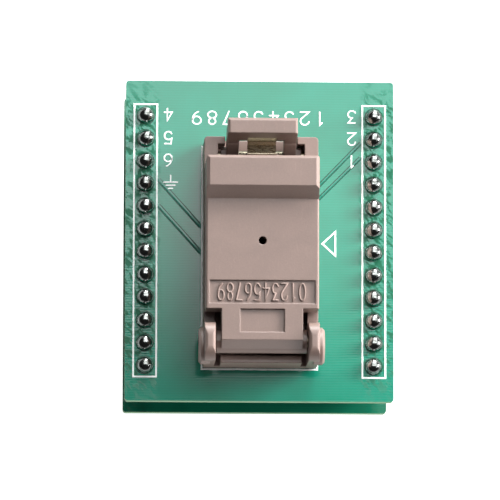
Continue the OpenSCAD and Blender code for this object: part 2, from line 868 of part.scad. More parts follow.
module lid() {
    bevel = 0.15;
    bar_bevel = 0.35;
    plate_l = bar_back - plate_back;
    bar_l = 2 * (lid_front - plate_back);
    color(plastic)
        on_board()
            difference() {
                union() {
                    translate([0, plate_back + plate_l / 2, 0])
                        bevelled(lid_w, plate_l, lid_low, lid_top, bevel);
                    intersection() {
                        across(lid_w) bar_outline();
                        bevelled(lid_w, bar_l, lid_low, bar_top, bar_bevel);
                        linear_extrude(bar_top) lid_plan();
                    }
                    across(neck_w) neck_outline();
                    cross_bar(knuckle_r, barrel_w, -hinge_y, hinge_z);
                    // Ledge that the catch holds
                    translate([-ledge_w / 2, lid_front - cut, lid_low])
                        cube([ledge_w, ledge_end - lid_front + cut, ledge_top - lid_low]);
                }
                lid_cuts();
            }
}

// Repeats the children at the four pad springs.
module pad_spring_places() {
    for (x = [-1, 1], y = [-1, 1])
        translate([x * pad_spring_at, y * pad_spring_at, 0]) children();
}

module pressure_pad() {
    color(black_plastic)
        on_board()
            translate([0, package_y, 0])
                difference() {
                    union() {
                        block([foot_w, foot_w, pad_z - foot_z + cut], foot_z);
                        block([pad_w, pad_w, flange_z - pad_z + cut], pad_z);
                        block([flange_w, flange_w, flange_t], flange_z);
                    }
                    cylinder(d = vent_d, h = lid_top);
                }
}

module pad_retainer() {
    color(steel)
        on_board()
            translate([0, package_y, 0])
                difference() {
                    block([retainer_w, retainer_w, retainer_t - held], lid_low + held);
                    block([pad_w + 2 * drop_gap, pad_w + 2 * drop_gap, lid_top], lid_low - cut);
                }
}

// Four coil springs that stand on the pad's flange and push it down.
module pad_springs() {
    r = (pad_spring_d - pad_wire) / 2;
    turns = 3.5;
    steps = 14;
    z0 = flange_z + flange_t + pad_wire / 2 + 0.01;
    z1 = spring_seat - pad_wire / 2 - 0.01;
    n = ceil(turns * steps);
    color(steel)
        on_board()
            translate([0, package_y, 0])
                pad_spring_places()
                    wire([for (i = [0 : n]) let (a = 360 * turns * i / n)
                        [r * cos(a), r * sin(a), z0 + (z1 - z0) * i / n]], pad_wire, 6);
}

// ---- latch -----------------------------------------------------------------

// Distance from the base's middle to the thumb bar's inner face, at height z.
function face_y(z) = thumb_in - thumb_lean * (thumb_top - z);

// Side view of the latch's arms and thumb bar; the arms step in under the bar.
module latch_outline() {
    step_z = latch_z + 2.7;
    polygon([
        [latch_y - 0.25, latch_z + 0.8], [face_y(step_z) - 0.2, step_z - 0.1],
        [face_y(step_z), step_z], [thumb_in, thumb_top],
        [thumb_out - 0.3, thumb_top], [thumb_out, thumb_top - 0.3],
        [thumb_out, thumb_top - 1.4], [thumb_out - 0.35, thumb_top - 2.4],
        [latch_y + 2.65, latch_z + 1.7], [latch_y + 1.9, latch_z + 0.6],
        [latch_y + 0.65, latch_z - 0.65], [latch_y - 0.4, latch_z - 0.4],
    ]);
}

// Side view of the latch's foot: round below, and flat on top.
module foot_outline() {
    intersection() {
        translate([latch_y, latch_z]) circle(r = foot_r);
        translate([latch_y - foot_r, latch_z - foot_r]) square([2 * foot_r, foot_r + foot_flat]);
    }
}

// Side view of the space between the arms; a thin wall closes it behind the catch strip.
module window_outline() {
    back = face_y(window_top) + catch_t + 0.05;
    sill = latch_z + 0.95;
    polygon([
        [0, 0], [2 * thumb_out, 0], [2 * thumb_out, sill], [back, sill], [back, window_top],
        [0, window_top],
    ]);
}

// Side view of the catch strip's upper part, which lies in the thumb bar's inner face, with
// room round it.
module strip_seat(room) {
    top = window_top + catch_in + catch_t * thumb_lean + room;
    low = window_top - cut;
    polygon([
        [face_y(low) - cut, low], [face_y(low) + catch_t + room, low],
        [face_y(top) + catch_t + room, top], [face_y(top) - cut, top],
    ]);
}

// Front view of the latch, with the thumb bar's upper corners rounded.
module latch_front(length) {
    along(length)
        translate([-thumb_w / 2, 0]) rounded([thumb_w, thumb_top], 0.3);
}

module latch() {
    color(plastic)
        on_board()
            difference() {
                union() {
                    across(latch_foot_w) foot_outline();
                    intersection() {
                        across(thumb_w) latch_outline();
                        latch_front(4 * thumb_out);
                    }
                }
                cross_bar(latch_d / 2 + running, latch_foot_w + cut, latch_y, latch_z);
                across(window_w) window_outline();
                across(catch_w + 2 * held) strip_seat(held);
            }
}

// A strip of even thickness bent along a list of points, with round bends.
module bent_strip(points, t) {
    for (i = [0 : len(points) - 2]) {
        v = points[i + 1] - points[i];
        translate(points[i]) rotate(atan2(v[1], v[0])) translate([0, -t / 2]) square([norm(v), t]);
    }
    for (i = [1 : len(points) - 2]) translate(points[i]) circle(d = t);
}

// The steel strip: set in the thumb bar's inner face, bent in under it, and rolled to a nose
// at its end.
module latch_catch() {
    top = window_top + catch_in;
    low = window_top - 0.75;
    middle = catch_t / 2;
    color(steel)
        on_board()
            across(catch_w) {
                bent_strip([
                    [face_y(top) + middle, top], [face_y(low) + middle, low],
                    [face_y(low) - 0.25, low - 0.36], nose,
                ], catch_t);
                translate(nose) circle(r = nose_r);
            }
}

module latch_pin() {
    color(steel) on_board() cross_bar(latch_d / 2, latch_pin_l - 0.1, latch_y, latch_z);
}

// Torsion spring round the latch pin: one leg lies on the slot's floor, one stands up behind
// the catch strip and pulls the latch in.
module latch_spring() {
    color(steel)
        on_board()
            translate([0, latch_y, latch_z])
                torsion_spring(latch_coil_r, -90, 0, foot_r - 0.05, latch_leg);
}

lower_board();
dip_strip(-1);  // dip_strip_left
dip_strip(1);  // dip_strip_right
dip_pins(-1);  // dip_pins_left
dip_pins(1);  // dip_pins_right
dip_solder(-1);  // dip_solder_left
dip_solder(1);  // dip_solder_right
socket_strip(-1);  // socket_strip_left
socket_strip(1);  // socket_strip_right
strip_contacts(-1);  // strip_contacts_left
strip_contacts(1);  // strip_contacts_right
strip_solder(-1);  // strip_solder_left
strip_solder(1);  // strip_solder_right
header_body(-1);  // header_body_left
header_body(1);  // header_body_right
header_pins(-1);  // header_pins_left
header_pins(1);  // header_pins_right
pin_solder(-1);  // pin_solder_left
pin_solder(1);  // pin_solder_right
top_board();
socket_base();
locator_plate();
contacts(-1);  // contacts_left
contacts(1);  // contacts_right
ground_probe();
socket_solder();
package_guide();
hinge_pin();
hinge_spring();
lid();
pressure_pad();
pad_springs();
pad_retainer();
latch();
latch_catch();
latch_pin();
latch_spring();
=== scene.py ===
"""Looks of a clamshell test socket on a two-board adapter: finishes for every solid of the
frame, and the fine pieces that lie on them, such as ink, solder, track edges and moulded digits."""

import bmesh
import bpy
import math
import numpy as np
from mathutils import Matrix, Vector


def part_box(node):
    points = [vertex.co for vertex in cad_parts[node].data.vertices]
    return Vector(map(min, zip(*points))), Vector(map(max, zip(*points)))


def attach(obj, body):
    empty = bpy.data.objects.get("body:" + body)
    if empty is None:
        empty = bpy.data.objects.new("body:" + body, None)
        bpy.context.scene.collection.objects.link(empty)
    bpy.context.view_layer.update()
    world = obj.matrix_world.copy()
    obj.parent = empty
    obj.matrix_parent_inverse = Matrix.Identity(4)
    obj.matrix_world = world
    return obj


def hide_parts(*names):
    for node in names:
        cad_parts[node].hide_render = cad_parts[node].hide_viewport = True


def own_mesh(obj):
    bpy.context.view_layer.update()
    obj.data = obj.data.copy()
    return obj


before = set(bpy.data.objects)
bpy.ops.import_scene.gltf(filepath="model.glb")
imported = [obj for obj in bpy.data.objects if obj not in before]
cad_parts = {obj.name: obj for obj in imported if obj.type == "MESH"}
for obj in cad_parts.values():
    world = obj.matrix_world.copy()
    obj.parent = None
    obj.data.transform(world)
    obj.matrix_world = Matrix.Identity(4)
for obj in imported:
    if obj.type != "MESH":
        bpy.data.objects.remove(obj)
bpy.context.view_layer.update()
MM = 0.001

# ---- sizes, in millimetres in the row frame ---------------------------------------------

board_low, board_high = (np.array(corner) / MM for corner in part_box("top_board"))
lower_low, lower_high = (np.array(corner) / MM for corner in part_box("lower_board"))
FACE = board_high[2]
# Pin rows: pitch, pins in a row, a row's distance from the middle, and each pin's place along it
PITCH = 2.54
PINS = 12
ROW_X = 12.7
PIN_Y = (np.arange(PINS) - (PINS - 1) / 2) * PITCH
# Socket: its middle along the board, the top of its lid, and the lid's sunken number panel
SOCKET_Y = -1.6
LID_FACE = FACE + 8.2
PANEL_DEEP = 0.2
PANEL_Y = SOCKET_Y - 5.11


# ---- camera ------------------------------------------------------------------------------

# Distance from the board's face and sideways shift in millimetres, the way back to the camera,
# its roll in degrees, and its focal length and sensor in millimetres
CAMERA_AWAY = 602
CAMERA_SHIFT = (-1.05, -1.03)
CAMERA_BACK = (-0.039, -0.1305, 0.990)
CAMERA_ROLL = 0.42
FOCAL_LENGTH = 390.3
SENSOR = 36


def aim(place, back, roll=0.0):
    """World matrix of a camera or lamp at place whose back points along back, its x axis level
    with the boards' x axis, then turned by roll degrees about its own line of sight."""
    back = Vector(back).normalized()
    right = (Vector((1, 0, 0)) - back * back.x).normalized()
    up = back.cross(right)
    turned = Matrix((right, up, back)).transposed() @ Matrix.Rotation(math.radians(roll), 3, "Z")
    return Matrix.Translation(Vector(place)) @ turned.to_4x4()


def set_camera():
    """A long lens almost straight above the socket, leaning a little to the front and left."""
    distance = CAMERA_AWAY * MM
    back = Vector(CAMERA_BACK).normalized()
    lens = bpy.data.cameras.new("camera")
    lens.lens = FOCAL_LENGTH
    lens.sensor_width = SENSOR
    lens.clip_start = 0.01
    lens.clip_end = 20
    camera = bpy.data.objects.new("camera", lens)
    bpy.context.scene.collection.objects.link(camera)
    middle = Vector((0, 0, FACE * MM)) + back * distance
    turned = aim(middle, back)
    shift = turned.to_3x3() @ Vector((CAMERA_SHIFT[0] * MM, CAMERA_SHIFT[1] * MM, 0))
    camera.matrix_world = aim(middle + shift, back, CAMERA_ROLL)
    bpy.context.scene.camera = camera


set_camera()

# ---- colours and nodes -------------------------------------------------------------------


def linear(code, scale=1.0):
    """An sRGB hex colour as linear red, green, blue and alpha, its light multiplied by scale."""
    parts = [int(code[i:i + 2], 16) / 255 for i in (0, 2, 4)]
    return tuple(scale * (c / 12.92 if c <= 0.04045 else ((c + 0.055) / 1.055) ** 2.4)
                 for c in parts) + (1.0,)


def add(tree, kind, inputs=(), **settings):
    """Adds one node. Settings are its properties; inputs give its sockets a value or a link."""
    made = tree.nodes.new("ShaderNode" + kind)
    for name, value in settings.items():
        setattr(made, name, value)
    for name, value in dict(inputs).items():
        if isinstance(value, bpy.types.NodeSocket):
            tree.links.new(value, made.inputs[name])
        else:
            made.inputs[name].default_value = value
    return made


def start(name, **sockets):
    """A new material with its shader: the material, its tree, the shader, and the place on the
    piece in metres. Sockets are given by name with _ for a space."""
    made = bpy.data.materials.new(name)
    made.use_nodes = True
    tree = made.node_tree
    tree.nodes.clear()
    values = {key.replace("_", " "): value for key, value in sockets.items()}
    shader = add(tree, "BsdfPrincipled", values)
    add(tree, "OutputMaterial", {"Surface": shader.outputs["BSDF"]})
    return made, tree, shader, add(tree, "TexCoord").outputs["Object"]


# ---- finishes ----------------------------------------------------------------------------

# A wave texture's scale times the distance between its lines
WAVE = 0.31416
# Solder mask: the depths under a face, in millimetres, where the film ends and where it is
# whole; the distances between the cloth's yarns; the laminate's layers and fibres
FILM_ENDS, FILM_WHOLE = 0.035, 0.02
WEFT_APART, WARP_APART = 0.29, 0.8
LAYERS_APART, FIBRE = 0.2, 0.12
# Flux, in millimetres from the board's middle: where it starts and is whole along x, where it
# is faint and full along y, and a smear's width; then its colour
FLUX_FROM, FLUX_WHOLE = 10.9, 11.9
FLUX_FAINT, FLUX_FULL = 16.8, 14.8
FLUX_SMEAR = 0.45
FLUX_COLOUR = "06583C"


def solder_mask(name, low, high, light, dark):
    """Liquid solder mask, sprayed and cured with light, over glass epoxy laminate (FR4).
    The eye gets a glossy green film that lets the cloth under it show as faint even lines,
    dull dark flecks of dried flux along both pin rows, and pale layered sawn edges. low and
    high are the board's faces in millimetres."""
    made, tree, shader, place = start(name, IOR=1.6)
    link = tree.links.new
    parts = add(tree, "SeparateXYZ", {"Vector": place})
    # Distance from the board's middle layer: the film lies on the outermost 0.02 mm
    middle = (low + high) / 2 * MM
    half = (high - low) / 2 * MM
    depth = add(tree, "Math", {0: parts.outputs["Z"], 1: middle}, operation="SUBTRACT")
    depth = add(tree, "Math", {0: depth.outputs[0]}, operation="ABSOLUTE")
    film = add(tree, "MapRange", {"Value": depth.outputs[0], "From Min": half - FILM_ENDS * MM,
                                  "From Max": half - FILM_WHOLE * MM})
    # Slow unevenness of the sprayed film, 7 mm across
    cloud = add(tree, "TexNoise", {"Vector": place, "Scale": 1 / (7 * MM), "Detail": 2.0})
    # Yarns of the glass cloth, drawn a little uneven
    weft = add(tree, "TexWave", {"Vector": place, "Scale": WAVE / (WEFT_APART * MM),
                                 "Distortion": 1.6, "Detail": 2.0, "Detail Scale": 0.3},
               bands_direction="Y")
    warp = add(tree, "TexWave", {"Vector": place, "Scale": WAVE / (WARP_APART * MM),
                                 "Distortion": 1.1, "Detail": 1.5, "Detail Scale": 0.15},
               bands_direction="X")
    # Flux along both rows: a band broken into slanting smears, 2.4 times as long as they are
    # wide, and a quarter as strong beyond the ends of the rows
    away = add(tree, "Math", {0: parts.outputs["X"]}, operation="ABSOLUTE")
    band = add(tree, "MapRange", {"Value": away.outputs[0], "From Min": FLUX_FROM * MM,
                                  "From Max": FLUX_WHOLE * MM})
    long_way = add(tree, "Mapping", {"Vector": place, "Rotation": (0, 0, 0.8),
                                     "Scale": (1.0, 2.4, 1.0)}, vector_type="TEXTURE")
    smear = add(tree, "TexNoise", {"Vector": long_way.outputs[0],
                                   "Scale": 1 / (FLUX_SMEAR * MM), "Detail": 3.0,
                                   "Roughness": 0.6, "Distortion": 0.5})
    smear = add(tree, "MapRange", {"Value": smear.outputs["Fac"], "From Min": 0.5,
                                   "From Max": 0.58})
    stain = add(tree, "Math", {0: band.outputs[0], 1: smear.outputs[0]}, operation="MULTIPLY")
    ends = add(tree, "Math", {0: parts.outputs["Y"]}, operation="ABSOLUTE")
    ends = add(tree, "MapRange", {"Value": ends.outputs[0], "From Min": FLUX_FAINT * MM,
                                  "From Max": FLUX_FULL * MM, "To Min": 0.25})
    stain = add(tree, "Math", {0: stain.outputs[0], 1: ends.outputs[0]}, operation="MULTIPLY")
    # Colour: two greens by cloud and cloth, then the stain, then the laminate at the edges
    tone = add(tree, "Math", {0: weft.outputs["Fac"], 1: 0.25, 2: cloud.outputs["Fac"]},
               operation="MULTIPLY_ADD")
    tone = add(tree, "MapRange", {"Value": tone.outputs[0], "From Min": 0.3, "From Max": 0.95})
    green = add(tree, "Mix", {0: tone.outputs[0], 6: linear(dark), 7: linear(light)},
                data_type="RGBA")
    stain_part = add(tree, "Math", {0: stain.outputs[0], 1: 0.9}, operation="MULTIPLY")
    green = add(tree, "Mix", {0: stain_part.outputs[0], 6: green.outputs[2],
                              7: linear(FLUX_COLOUR)}, data_type="RGBA")
    # Laminate: eight glass layers, with sawn fibres in them
    layers = add(tree, "TexWave", {"Vector": place, "Scale": WAVE / (LAYERS_APART * MM),
                                   "Distortion": 0.6, "Detail": 2.0}, bands_direction="Z")
    fibres = add(tree, "TexNoise", {"Vector": place, "Scale": 1 / (FIBRE * MM),
                                    "Detail": 3.0})
    grain = add(tree, "Math", {0: layers.outputs["Fac"], 1: fibres.outputs["Fac"]},
                operation="MULTIPLY")
    edge = add(tree, "Mix", {0: grain.outputs[0], 6: linear("66906C"), 7: linear("9DB394")},
               data_type="RGBA")
    colour = add(tree, "Mix", {0: film.outputs[0], 6: edge.outputs[2], 7: green.outputs[2]},
                 data_type="RGBA")
    link(colour.outputs[2], shader.inputs["Base Color"])
    # The film is glossy, duller where flux dried on it; the sawn edge is matt
    gloss = add(tree, "MapRange", {"Value": stain.outputs[0], "To Min": 0.09, "To Max": 0.75})
    rough = add(tree, "Mix", {0: film.outputs[0], 2: 0.85, 3: gloss.outputs[0]},
                data_type="FLOAT")
    link(rough.outputs[0], shader.inputs["Roughness"])
    cloth = add(tree, "Math", {0: weft.outputs["Fac"], 1: warp.outputs["Fac"]}, operation="ADD")
    height = add(tree, "Math", {0: stain.outputs[0], 1: 4.0, 2: cloth.outputs[0]},
                 operation="MULTIPLY_ADD")
    bump = add(tree, "Bump", {"Height": height.outputs[0], "Strength": 1.0,
                              "Distance": 0.001 * MM})
    link(bump.outputs[0], shader.inputs["Normal"])
    return made


def moulded_plastic(name, light, dark, rough, grit, depth, round_edge):
    """Glass-filled plastic moulded in a spark-eroded tool. The eye gets an even, slightly
    sandy skin, faint flow clouds with short glass streaks, and soft light along the edges.
    grit, depth and round_edge are the tool texture's width and depth and the edges' radius."""
    made, tree, shader, place = start(name, IOR=1.66)
    link = tree.links.new
    # Tool texture: 0.1 mm across in a real tool, coarser here so that it shows
    sand = add(tree, "TexNoise", {"Vector": place, "Scale": 1 / (grit * MM), "Detail": 3.0,
                                  "Roughness": 0.6})
    # Flow clouds 4 mm across, and glass streaks 0.15 mm wide and 1 mm long
    cloud = add(tree, "TexNoise", {"Vector": place, "Scale": 1 / (4 * MM), "Detail": 3.0,
                                   "Distortion": 0.6})
    along = add(tree, "Mapping", {"Vector": place, "Rotation": (0, 0, 0.25),
                                  "Scale": (1.0, 0.15, 1.0)})
    streak = add(tree, "TexNoise", {"Vector": along.outputs[0], "Scale": 1 / (0.15 * MM),
                                    "Detail": 1.0})
    streak = add(tree, "MapRange", {"Value": streak.outputs["Fac"], "From Min": 0.6,
                                    "From Max": 0.8, "To Max": 0.15})
    tone = add(tree, "Math", {0: sand.outputs["Fac"], 1: 0.35, 2: streak.outputs[0]},
               operation="MULTIPLY_ADD")
    tone = add(tree, "Math", {0: cloud.outputs["Fac"], 1: 0.6, 2: tone.outputs[0]},
               operation="MULTIPLY_ADD")
    tone = add(tree, "MapRange", {"Value": tone.outputs[0], "From Min": 0.25,
                                  "From Max": 0.85})
    colour = add(tree, "Mix", {0: tone.outputs[0], 6: linear(dark), 7: linear(light)},
                 data_type="RGBA")
    link(colour.outputs[2], shader.inputs["Base Color"])
    dull = add(tree, "MapRange", {"Value": cloud.outputs["Fac"], "From Min": 0.3,
                                  "From Max": 0.7, "To Min": rough - 0.05,
                                  "To Max": rough + 0.05})
    link(dull.outputs[0], shader.inputs["Roughness"])
    soft = add(tree, "Bevel", {"Radius": round_edge * MM}, samples=6)
    bump = add(tree, "Bump", {"Height": sand.outputs["Fac"], "Strength": 0.6,
                              "Distance": depth * MM, "Normal": soft.outputs[0]})
    link(bump.outputs[0], shader.inputs["Normal"])
    return made


def metal(name, light, dark, rough, line, across, depth):
    """Drawn, rolled or plated metal: fine lines along the way it was drawn, cloudy handling
    marks, and a roughness that follows the lines. line and depth are the lines' width and
    depth in millimetres, and across their squeeze along x, y and z."""
    made, tree, shader, place = start(name, Metallic=1.0)
    link = tree.links.new
    stretch = add(tree, "Mapping", {"Vector": place, "Scale": across})
    lines = add(tree, "TexNoise", {"Vector": stretch.outputs[0], "Scale": 1 / (line * MM),
                                   "Detail": 3.0, "Roughness": 0.6})
    cloud = add(tree, "TexNoise", {"Vector": place, "Scale": 1 / (0.7 * MM), "Detail": 2.0})
    tone = add(tree, "Math", {0: lines.outputs["Fac"], 1: cloud.outputs["Fac"]},
               operation="MULTIPLY")
    tone = add(tree, "MapRange", {"Value": tone.outputs[0], "From Min": 0.12,
                                  "From Max": 0.4})
    colour = add(tree, "Mix", {0: tone.outputs[0], 6: linear(dark), 7: linear(light)},
                 data_type="RGBA")
    link(colour.outputs[2], shader.inputs["Base Color"])
    dull = add(tree, "MapRange", {"Value": lines.outputs["Fac"], "From Min": 0.3,
                                  "From Max": 0.7, "To Min": rough * 0.75,
                                  "To Max": rough * 1.3})
    link(dull.outputs[0], shader.inputs["Roughness"])
    bump = add(tree, "Bump", {"Height": lines.outputs["Fac"], "Strength": 0.5,
                              "Distance": depth * MM})
    link(bump.outputs[0], shader.inputs["Normal"])
    return made


def screen_ink(name):
    """White epoxy ink, screen-printed and baked. The eye gets a dull white line, a little thin
    in places, where the green under it tints it."""
    made, tree, shader, place = start(name, IOR=1.5, Roughness=0.5)
    link = tree.links.new
    thin = add(tree, "TexNoise", {"Vector": place, "Scale": 1 / (0.5 * MM), "Detail": 4.0})
    thin = add(tree, "MapRange", {"Value": thin.outputs["Fac"], "From Min": 0.58,
                                  "From Max": 0.8})
    colour = add(tree, "Mix", {0: thin.outputs[0], 6: linear("F4F8F6"), 7: linear("CFE2DA")},
                 data_type="RGBA")
    link(colour.outputs[2], shader.inputs["Base Color"])
    mesh = add(tree, "TexNoise", {"Vector": place, "Scale": 1 / (0.1 * MM), "Detail": 1.0})
    bump = add(tree, "Bump", {"Height": mesh.outputs["Fac"], "Strength": 0.4,
                              "Distance": 0.003 * MM})
    link(bump.outputs[0], shader.inputs["Normal"])
    return made


def reflowed_solder(name):
    """Tin-lead solder frozen from the melt: a dark bright mirror with slow ripples, dulled by
    a film of flux in patches 0.4 mm across."""
    made, tree, shader, place = start(name, Metallic=1.0)
    link = tree.links.new
    patch = add(tree, "TexNoise", {"Vector": place, "Scale": 1 / (0.4 * MM), "Detail": 3.0,
                                   "Roughness": 0.6})
    film = add(tree, "MapRange", {"Value": patch.outputs["Fac"], "From Min": 0.4,
                                  "From Max": 0.7})
    colour = add(tree, "Mix", {0: film.outputs[0], 6: linear("AEB3B1"), 7: linear("646761")},
                 data_type="RGBA")
    link(colour.outputs[2], shader.inputs["Base Color"])
    dull = add(tree, "MapRange", {"Value": film.outputs[0], "To Min": 0.12, "To Max": 0.3})
    link(dull.outputs[0], shader.inputs["Roughness"])
    ripple = add(tree, "TexNoise", {"Vector": place, "Scale": 1 / (0.5 * MM), "Detail": 2.0})
    bump = add(tree, "Bump", {"Height": ripple.outputs["Fac"], "Strength": 0.7,
                              "Distance": 0.012 * MM})
    link(bump.outputs[0], shader.inputs["Normal"])
    return made


upper_mask = solder_mask("cured_solder_mask_upper", board_low[2], board_high[2],
                         "0A7E67", "087158")
# The lower board gets darker greens than the upper board, though it is the same mask: painted shade
# for the shade that the upper board and the strips cast on it
lower_mask_painted_shade = solder_mask("cured_solder_mask_lower_painted_shade", lower_low[2], lower_high[2],
                         "156A50", "105E46")
pei = moulded_plastic("moulded_polyetherimide", "847169", "715F58", 0.44, 0.2, 0.012, 0.16)
black_pei = moulded_plastic("moulded_black_polyetherimide", "2B2A2B", "1B1A1B", 0.48, 0.15,
                            0.01, 0.05)
pbt = moulded_plastic("moulded_black_pbt", "242426", "151517", 0.42, 0.15, 0.006, 0.06)
gold = metal("gold_flash_on_bronze", "F0CB7C", "C79A4A", 0.24, 0.06, (1, 1, 0.1), 0.002)
steel = metal("rolled_spring_steel", "C8BEA8", "9C927E", 0.28, 0.05, (0.1, 1, 1), 0.001)
solder = reflowed_solder("reflowed_solder")
ink = screen_ink("screen_printed_ink")

# The solids that have each finish
FINISHES = {
    upper_mask: ["top_board"],
    lower_mask_painted_shade: ["lower_board"],
    pei: ["socket_base", "lid", "latch"],
    black_pei: ["package_guide", "pressure_pad", "locator_plate"],
    pbt: ["dip_strip_left", "dip_strip_right", "socket_strip_left", "socket_strip_right",
          "header_body_left", "header_body_right"],
    gold: ["dip_pins_left", "dip_pins_right", "strip_contacts_left", "strip_contacts_right",
           "header_pins_left", "header_pins_right", "contacts_left", "contacts_right",
           "ground_probe"],
    steel: ["hinge_pin", "latch_pin", "hinge_spring", "latch_spring", "pad_springs",
            "latch_catch", "pad_retainer"],
    solder: ["dip_solder_left", "dip_solder_right", "strip_solder_left",
             "strip_solder_right", "pin_solder_left", "pin_solder_right", "socket_solder"],
}
for finish, names in FINISHES.items():
    for name in names:
        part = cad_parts[name]
        if not part.material_slots:
            part.data.materials.append(finish)
        for place in part.material_slots:
            place.material = finish


# ---- surfaces ----------------------------------------------------------------------------

def piece(name, shells, finish, body, smooth=True):
    """One object from several shells. A shell is (points, round_rows, round_columns): a grid of
    points in millimetres, rows by columns by 3; a round way joins its last line to its first,
    and the first and last rows of a way that isn't round are closed with one face each."""
    points, faces, first = [], [], 0
    for grid, round_rows, round_columns in shells:
        rows, columns, _ = grid.shape
        index = first + np.arange(rows * columns).reshape(rows, columns)
        down = np.roll(index, -1, 0) if round_rows else index[1:]
        here = index if round_rows else index[:-1]
        if round_columns:
            quads = np.stack([here, np.roll(here, -1, 1), np.roll(down, -1, 1), down], -1)
        else:
            quads = np.stack([here[:, :-1], here[:, 1:], down[:, 1:], down[:, :-1]], -1)
        faces += quads.reshape(-1, 4).tolist()
        if not round_rows and round_columns:
            faces += [index[0, ::-1].tolist(), index[-1].tolist()]
        points.append(grid.reshape(-1, 3))
        first += rows * columns
    mesh = bpy.data.meshes.new(name)
    mesh.from_pydata((np.concatenate(points) * MM).tolist(), [], faces)
    shape = bmesh.new()
    shape.from_mesh(mesh)
    bmesh.ops.remove_doubles(shape, verts=shape.verts, dist=1e-7)
    bmesh.ops.recalc_face_normals(shape, faces=shape.faces)
    shape.to_mesh(mesh)
    shape.free()
    mesh.polygons.foreach_set("use_smooth", [smooth] * len(mesh.polygons))
    mesh.materials.append(finish)
    made = bpy.data.objects.new(name, mesh)
    bpy.context.scene.collection.objects.link(made)
    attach(made, body)
    return made


FLAT = np.array([(-1, -0.5), (-1, 0), (-0.8, 1), (0.8, 1), (1, 0), (1, -0.5)])
CROWN = np.array([(math.cos(a), math.sin(a)) for a in np.linspace(math.pi, 0, 9)]
                 + [(0.8, -0.6), (-0.8, -0.6)])


def stroke(path, width, height, z, profile=FLAT, closed=False):
    """A profile carried along a plan path. Profile points are (share of half the width, share
    of the height). At each path point the profile lies along the bisector of its two sides,
    stretched by one over the cosine of half the turn; the open ends narrow as half circles."""
    path = np.asarray(path, float)
    if closed:
        before, after = np.roll(path, 1, 0), np.roll(path, -1, 0)
    else:
        before = np.vstack([2 * path[0] - path[1], path[:-1]])
        after = np.vstack([path[1:], 2 * path[-1] - path[-2]])
    one = (path - before) / np.linalg.norm(path - before, axis=1, keepdims=True)
    two = (after - path) / np.linalg.norm(after - path, axis=1, keepdims=True)
    way = one + two
    way /= np.linalg.norm(way, axis=1, keepdims=True)
    stretch = 1 / np.maximum((one * way).sum(1), 0.45)
    if not closed:
        turn = np.radians([85, 60, 30])
        head = path[0] - way[0] * np.sin(turn)[:, None] * width / 2
        tail = path[-1] + way[-1] * np.sin(turn[::-1])[:, None] * width / 2
        path = np.vstack([head, path, tail])
        way = np.vstack([np.tile(way[0], (3, 1)), way, np.tile(way[-1], (3, 1))])
        stretch = np.concatenate([np.cos(turn), stretch, np.cos(turn[::-1])])
    side = np.stack([way[:, 1], -way[:, 0]], 1) * (stretch * width / 2)[:, None]
    plan = path[:, None] + side[:, None] * profile[None, :, :1]
    level = np.broadcast_to(z + height * profile[None, :, 1:], plan.shape[:2] + (1,))
    return np.concatenate([plan, level], 2), closed, True


def arc(x, y, rx, ry, first, last, steps=14):
    """Points of an elliptical arc round (x, y) from first to last degrees."""
    turn = np.radians(np.linspace(first, last, steps))
    return np.stack([x + rx * np.cos(turn), y + ry * np.sin(turn)], 1)


def line(*points):
    """The given points as a path."""
    return np.array(points, float)


# Digits as pen strokes in a box one wide and one high: (path, closed) for each stroke
SIX = [(arc(0.5, 0.3, 0.5, 0.3, 0, 337.5, 16), True),
       (arc(1.0, 0.33, 1.0, 0.67, 178, 108, 9), False)]
DIGITS = {
    "0": [(arc(0.5, 0.5, 0.5, 0.5, 0, 345, 24), True)],
    "1": [(line((0.55, 0), (0.55, 1), (0.3, 0.84)), False)],
    "2": [(np.vstack([arc(0.5, 0.7, 0.5, 0.3, 170, -35, 12), line((0, 0), (1, 0))]), False)],
    "3": [(np.vstack([line((0.05, 1), (0.95, 1), (0.45, 0.6)),
                      arc(0.48, 0.3, 0.5, 0.3, 80, -150, 14)]), False)],
    "4": [(line((1, 0.3), (0, 0.3), (0.62, 1), (0.62, 0)), False)],
    "5": [(np.vstack([line((0.92, 1), (0.12, 1), (0.06, 0.56)),
                      arc(0.48, 0.33, 0.5, 0.33, 125, -150, 14)]), False)],
    "6": SIX,
    "7": [(line((0, 1), (1, 1), (0.35, 0)), False)],
    "8": [(arc(0.5, 0.76, 0.4, 0.24, 0, 337.5, 16), True),
          (arc(0.5, 0.26, 0.5, 0.26, 0, 337.5, 16), True)],
    "9": [(1 - path, closed) for path, closed in SIX],
}


def number(digits, x, y, size, pitch, width, height, z, profile=FLAT):
    """Strokes of a row of digits that reads from the board's far side: every digit is turned
    half round, so the row runs towards -x. (x, y) is the row's middle."""
    made = []
    for place, digit in enumerate(digits):
        middle = x - (place - (len(digits) - 1) / 2) * pitch
        for path, closed in DIGITS[digit]:
            plan = line((middle, y)) - (path - 0.5) * np.array(size)
            made.append(stroke(plan, width, height, z, profile, closed))
    return made


def frame_line(x0, x1, y0, y1, width, height, z):
    """A printed rectangle: the flat profile carried round its four corners."""
    return stroke(line((x0, y0), (x1, y0), (x1, y1), (x0, y1)), width, height, z, FLAT, True)


# ---- printed marks -----------------------------------------------------------------------

# Ink's height and the widths of its frames, digits, ground sign and arrow
INK = 0.02
LINE = 0.19
DIGIT_LINE = LINE * 0.85
SIGN_LINE = LINE * 0.8
ARROW_LINE = 0.2
